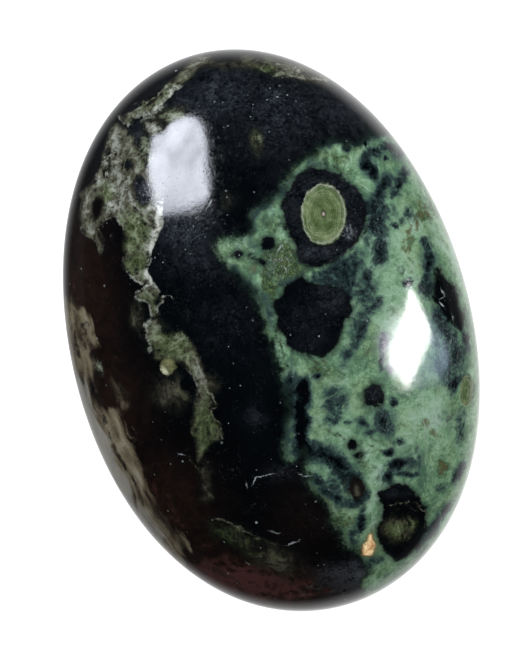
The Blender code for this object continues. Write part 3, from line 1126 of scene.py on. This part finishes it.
def jasper_colour(n):
    dark = dark_colour(n)
    green = green_share(n)
    colour = n.mix(n.rise(green, -11.0, 1.0), dark, DARK_GREEN)
    colour = n.mix(n.rise(green, -5.0, 6.0), colour, green_colour(n))

    blob = n.blend(n.drawn, -60.0, n.field("blob"))
    blob = n.add(blob, n.rough(8.0, 8.0))
    colour = n.mix(n.times(n.rise(blob, -6.0, 0.0), 0.6), colour, DARK_TEAL)
    colour = n.mix(n.rise(blob, -1.5, 2.0), colour, dark)

    colour = vein_layer(n, colour)
    colour = bead_layer(n, colour)
    colour = bark_layer(n, colour)

    solid, radius = orb_places(n)
    halo = n.fall(n.add(solid, n.times(n.grain(1.5, 3.0), 0.5)), 1.4, 1.6)
    ring = n.times(halo, n.fall(n.drawn, 0.3, 0.7))
    colour = n.mix(ring, colour, dark)
    inside = n.fall(n.add(radius, n.times(n.grain(0.6, 4.0, roughness=0.65), 0.25)), 0.96, 1.05)
    colour = n.mix(inside, colour, orb_colour(n, radius))

    colour = n.mix(thin_line(n, "dark", 2.2, 0.9), colour, BLACK)
    colour = n.mix(thin_line(n, "fleck", 0.5, 0.6, 4.0), colour, FLECK)
    # painted glint: the orange spot, brightest at its core
    copper_glint = n.add(n.field("copper_glint"), n.rough(9.0, 6.0))
    colour = n.mix(n.times(n.rise(copper_glint, -3.0, 1.0), n.drawn, 0.8), colour, COPPER_EDGE)
    glint_grain = n.grain(0.7, 3.0, roughness=0.6)
    bright = n.ramp(glint_grain, (-0.28, COPPER_EDGE), (-0.08, COPPER), (0.08, COPPER_GLINT_CORE))
    return n.mix(n.times(n.rise(copper_glint, -1.0, 3.5), n.drawn), colour, bright)


STONE_IOR = 1.54
POLISH_ROUGHNESS = (0.05, 0.15)  # where the polish is best and where it is dull
MARK_ROUGHNESS = 0.30  # what pits and scratches add
RELIEF_DEPTH = 0.00006


def worn_places(n):
    """Where the polish has suffered most, 0 to 1."""
    return n.rise(n.grain(3.5, 2.0, n.wavy), -0.12, 0.15)


def wear_marks(n):
    """Fine pits and hairline scratches that dull the polish, 0 to 1."""
    pits = n.dots(0.40, 0.10, 0.34, 0.45)
    upright = n.rise(n.grain(0.17, 1.0, n.stretched((0.8, 9.0, 1.0), 0.2)), 0.10, 0.20)
    slanted = n.rise(n.grain(0.20, 2.0, n.stretched((0.9, 7.0, 1.0), -0.65)), 0.12, 0.21)
    marks = n.math("MAXIMUM", pits, n.math("MAXIMUM", n.times(slanted, 0.4), n.times(upright, 0.25)))
    return n.times(marks, n.add(0.4, n.times(worn_places(n), 0.6)))


def jasper_relief(n):
    """The faint orange peel of the polish, rougher where it is worn."""
    height = n.times(n.grain(0.4, 4.0, roughness=0.7), n.add(0.13, n.times(worn_places(n), 0.20)))
    bump = n.new("ShaderNodeBump")
    for name, item in (("Strength", 0.5), ("Distance", RELIEF_DEPTH), ("Height", height)):
        n.feed(bump.inputs[name], item)
    return bump.outputs["Normal"]


def new_material(name):
    material = bpy.data.materials.new(name)
    material.use_nodes = True
    return material, material.node_tree.nodes["Principled BSDF"]


def jasper_material():
    material, shader = new_material("polished_jasper")
    n = JasperNodes(material.node_tree)
    n.feed(shader.inputs["Base Color"], jasper_colour(n))
    wear = n.rise(n.add(n.grain(0.5, 4.0, roughness=0.72), n.times(n.grain(4.0), 0.6)), -0.12, 0.30)
    marks = n.times(wear_marks(n), MARK_ROUGHNESS)
    n.feed(shader.inputs["Roughness"], n.add(n.blend(wear, *POLISH_ROUGHNESS), marks))
    n.feed(shader.inputs["Normal"], jasper_relief(n))
    shader.inputs["IOR"].default_value = STONE_IOR
    return material


# Floor, lights and camera

WHITE = (1.0, 1.0, 1.0, 1.0)
NO_COLOUR = (0.0, 0.0, 0.0, 1.0)
FLOOR_RADIUS = 0.115
FLOOR_DROP = 0.00003  # keeps the floor clear of the flat that the stone rests on
FLOOR_GREY = (0.3, 0.3, 0.3, 1.0)
FLOOR_GLOW = 0.85
POOL_GLOW = 1.05
POOL_RADII = (0.022, 0.056)  # the bright pool that the polish mirrors dims from the first to the second
POOL_SHIFT = (0.011, -0.001)
POOL_SQUEEZE = 0.7  # the pool is longer than wide, as the stone is

# How bright the room is as light on the stone, as the backdrop, and mirrored in the polish
ROOM_LIGHT = 0.30
BACKDROP_LIGHT = 1.05
MIRRORED_LIGHT = 0.006

CLOTH_SCALE = 14.0
CLOTH_LEVELS = (0.35, 1.65)  # the least and the most that the cloth of a soft box lets through

# Outlines of the two highlights in the photograph, and of the fainter light beside the right one
WINDOW_LEFT = [
    (152, 136), (163, 133), (172, 122), (185, 116), (197, 118), (203, 128), (206, 145), (207, 168),
    (209, 185), (209, 196), (203, 203), (190, 208), (178, 213), (160, 214), (154, 204), (151, 190),
    (148, 170), (150, 150),
]
WINDOW_RIGHT = [
    (410, 288), (421, 309), (431, 331), (421, 358), (407, 387), (395, 374), (386, 356), (400, 322),
]
CURTAIN_LEFT = [(404, 312), (393, 324), (380, 335), (379, 350), (385, 366), (397, 380), (408, 350)]
CURTAIN_RIGHT = [(424, 312), (436, 330), (450, 352), (448, 368), (432, 384), (410, 389), (416, 350)]

# The lights, as (name, outline, distance, brightness, colour)
LIGHTS = [
    ("soft_box_left", WINDOW_LEFT, 0.60, 17.5, (0.85, 0.89, 1.0, 1.0)),
    ("soft_box_right", WINDOW_RIGHT, 0.60, 30.0, WHITE),
    ("curtain_left", CURTAIN_LEFT, 0.64, 10.0, (0.90, 0.86, 1.0, 1.0)),
    ("curtain_right", CURTAIN_RIGHT, 0.68, 3.6, (0.60, 0.80, 1.0, 1.0)),
]


def mirrored_spot(stone, photo, places, pixel, distance):
    """Where a light that far off must be for the stone to mirror it at that pixel."""
    gaps = np.hypot(*(places - np.array(pixel)).T)
    vert = stone.data.vertices[int(np.argmin(gaps))]
    toward_eye = (photo.eye - vert.co).normalized()
    normal = vert.normal
    outgoing = normal * (2 * normal.dot(toward_eye)) - toward_eye
    return vert.co + outgoing * distance


def add_soft_box(name, corners, brightness, colour):
    """A glowing card with that outline, as uneven as the cloth of a soft box."""
    mesh = bpy.data.meshes.new(name)
    mesh.from_pydata(corners, [], [list(range(len(corners)))])
    material, shader = new_material(name)
    n = Nodes(material.node_tree)
    cloth = n.noise(n.object_place(), CLOTH_SCALE, 5.0, 0.72)["Fac"]
    glow = n.remap(cloth, 0.2, 0.8, *(level * brightness for level in CLOTH_LEVELS))
    n.feed(shader.inputs["Base Color"], NO_COLOUR)
    n.feed(shader.inputs["Emission Color"], colour)
    n.feed(shader.inputs["Emission Strength"], glow)
    mesh.materials.append(material)
    card = bpy.data.objects.new(name, mesh)
    card.visible_camera = False
    bpy.context.scene.collection.objects.link(card)


def floor_material():
    """White card. In the stone's polish it dims away from the stone, as a lit backdrop does."""
    material, shader = new_material("white_card")
    n = Nodes(material.node_tree)
    reach = n.new("ShaderNodeVectorMath", operation="DISTANCE")
    n.feed(reach.inputs[0], n.vector("MULTIPLY", n.object_place(), (1.0, POOL_SQUEEZE, 1.0)))
    n.feed(reach.inputs[1], (*POOL_SHIFT, 0.0))
    pool = n.remap(reach.outputs["Value"], *POOL_RADII, POOL_GLOW, 0.0, "SMOOTHSTEP")
    mirrored = n.new("ShaderNodeLightPath").outputs["Is Glossy Ray"]
    n.feed(shader.inputs["Base Color"], n.mix(mirrored, FLOOR_GREY, NO_COLOUR))
    n.feed(shader.inputs["Emission Color"], WHITE)
    n.feed(shader.inputs["Emission Strength"], n.blend(mirrored, FLOOR_GLOW, pool))
    n.feed(shader.inputs["Roughness"], 0.9)
    return material


def add_floor():
    bm = bmesh.new()
    bmesh.ops.create_circle(bm, cap_ends=True, segments=96, radius=FLOOR_RADIUS)
    mesh = bpy.data.meshes.new("floor")
    bm.to_mesh(mesh)
    bm.free()
    mesh.materials.append(floor_material())
    floor = bpy.data.objects.new("floor", mesh)
    floor.location.z = -FLOOR_DROP
    bpy.context.scene.collection.objects.link(floor)


def background(n, brightness):
    node = n.new("ShaderNodeBackground")
    n.feed(node.inputs["Strength"], brightness)
    return node.outputs[0]


def set_world():
    """Soft light all round, white behind the stone, and a dark room for the polish to mirror."""
    world = bpy.data.worlds.new("studio")
    world.use_nodes = True
    bpy.context.scene.world = world
    world.node_tree.nodes.clear()
    n = Nodes(world.node_tree)
    path = n.new("ShaderNodeLightPath").outputs
    shown = background(n, ROOM_LIGHT)
    for ray, brightness in (("Is Camera Ray", BACKDROP_LIGHT), ("Is Glossy Ray", MIRRORED_LIGHT)):
        choice = n.new("ShaderNodeMixShader")
        for socket, item in zip(choice.inputs, (path[ray], shown, background(n, brightness))):
            n.feed(socket, item)
        shown = choice.outputs[0]
    n.feed(n.new("ShaderNodeOutputWorld").inputs["Surface"], shown)


def add_camera(photo):
    camera = bpy.data.cameras.new("camera")
    camera.lens = LENS_MM
    camera.sensor_width = SENSOR_MM
    camera.clip_start = 0.01
    rig = bpy.data.objects.new("camera", camera)
    axes = Matrix((photo.right, photo.up, Vector((0.0, 0.0, 1.0)))).transposed()
    rig.matrix_world = Matrix.Translation(photo.eye) @ axes.to_4x4()
    bpy.context.scene.collection.objects.link(rig)
    bpy.context.scene.camera = rig


def main():
    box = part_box("kambaba_jasper_stone")
    stone, girth_height = make_stone(box)
    middle = (box[0] + box[1]) / 2
    photo = Photo(girth_height, middle)
    draw_markings(stone, photo, girth_height)
    stone.data.materials.append(jasper_material())
    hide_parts("kambaba_jasper_stone")
    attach(stone, "root")

    add_floor()
    points = vertex_points(stone.data)
    places = photo.places(points)
    places[points[:, 2] < girth_height] = np.inf
    for name, outline, distance, brightness, colour in LIGHTS:
        corners = [mirrored_spot(stone, photo, places, pixel, distance) for pixel in outline]
        add_soft_box(name, corners, brightness, colour)
    set_world()
    add_camera(photo)
    bpy.context.scene.view_settings.view_transform = "Standard"


main()
